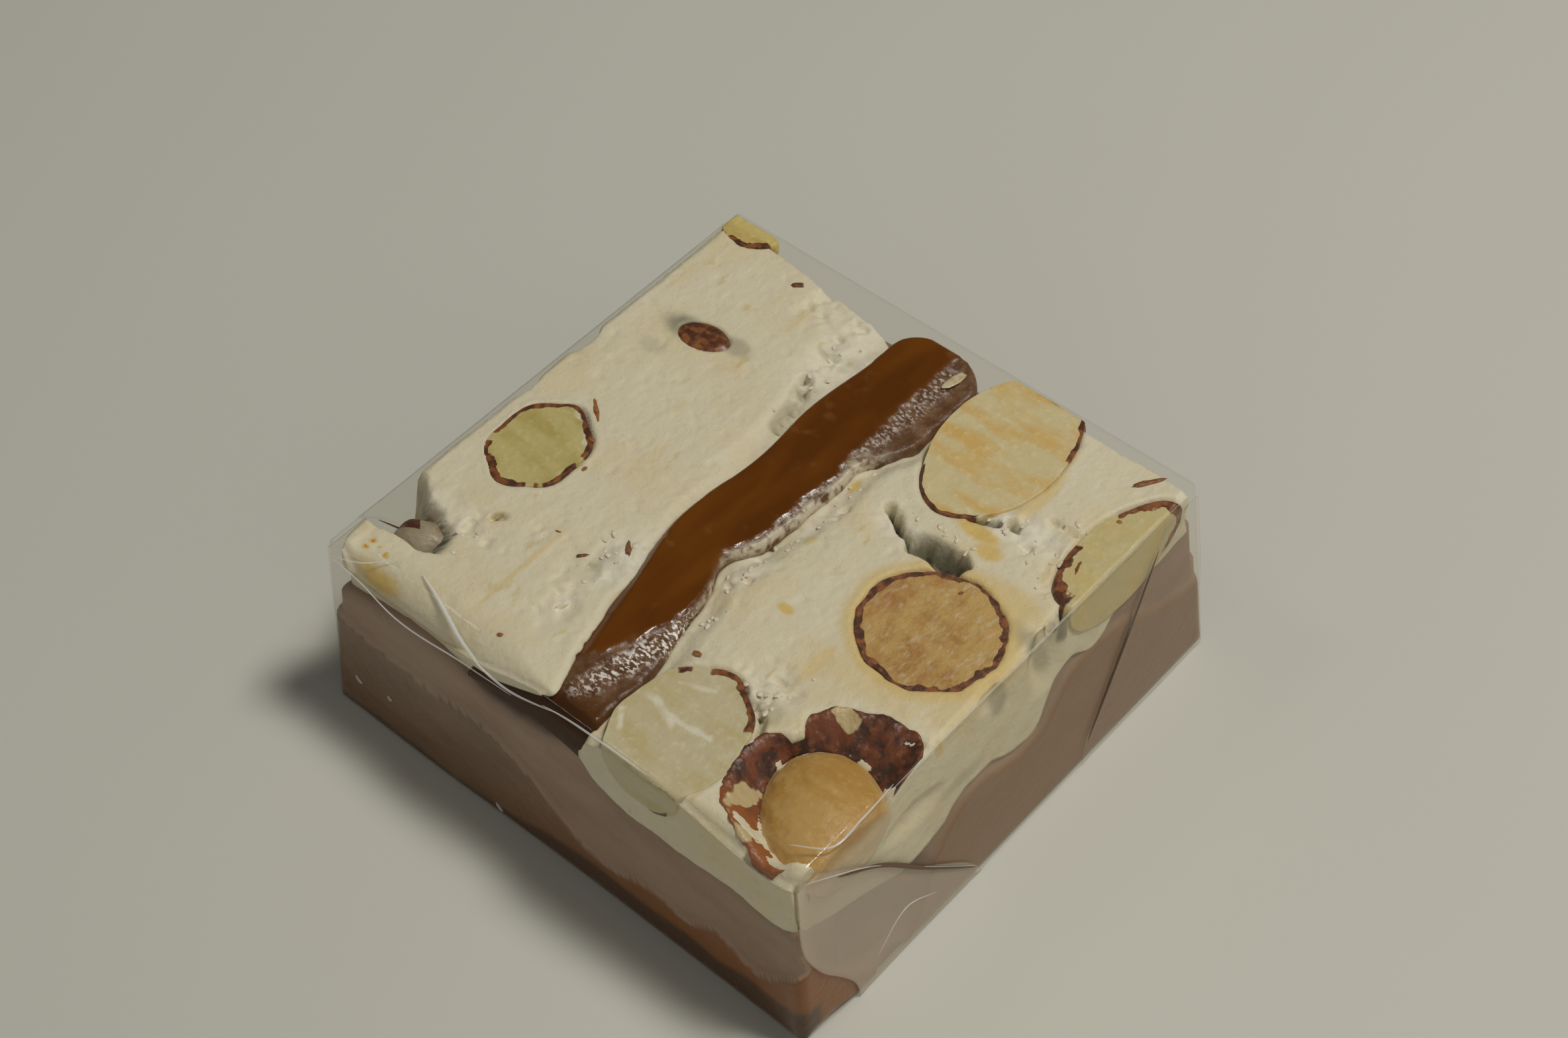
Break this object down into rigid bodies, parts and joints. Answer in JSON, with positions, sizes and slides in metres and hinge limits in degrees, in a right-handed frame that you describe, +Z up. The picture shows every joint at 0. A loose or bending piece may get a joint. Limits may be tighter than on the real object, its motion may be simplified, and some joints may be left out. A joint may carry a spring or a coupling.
{
  "type": "nougat bar",
  "caption": "Square soft nougat bar on a milk chocolate base, with a caramel strip and cut almonds, folded tight in clear film.",
  "frame": {"origin": "centre of the bar's underside, on the surface it rests on", "axes": "+Z up, +Y along the caramel strip towards its rounded end, +X towards the toasted almonds and one folded end of the film"},
  "size_m": [0.0508, 0.0496, 0.0192],
  "materials": {
    "clear_film": "thin clear wrapping film, glossy, faintly milky where it is folded double",
    "milk_chocolate": "milk chocolate, satin, darker where it touches the film",
    "white_nougat": "soft white nougat, matt, with fine pores and torn crumbs",
    "soft_caramel": "soft caramel, smooth and glossy",
    "blanched_almond": "pale almond flesh, cut across, satin",
    "toasted_almond": "toasted almond flesh, grainy where cut",
    "almond_skin": "brown almond skin, wrinkled, matt"
  },
  "bodies": {
    "root": {"film_wrap": "clear_film", "chocolate_base": "milk_chocolate", "nougat_left": "white_nougat", "nougat_right": "white_nougat", "caramel_strip": "soft_caramel", "almond_left": "blanched_almond", "almond_back_left": "blanched_almond", "almond_back": "blanched_almond", "almond_front": "blanched_almond", "almond_right": "blanched_almond", "almond_notch": "blanched_almond", "almond_toasted": "toasted_almond", "almond_whole": "toasted_almond", "almond_buried": "almond_skin", "almond_skin": "almond_skin"}
  },
  "joints": []
}
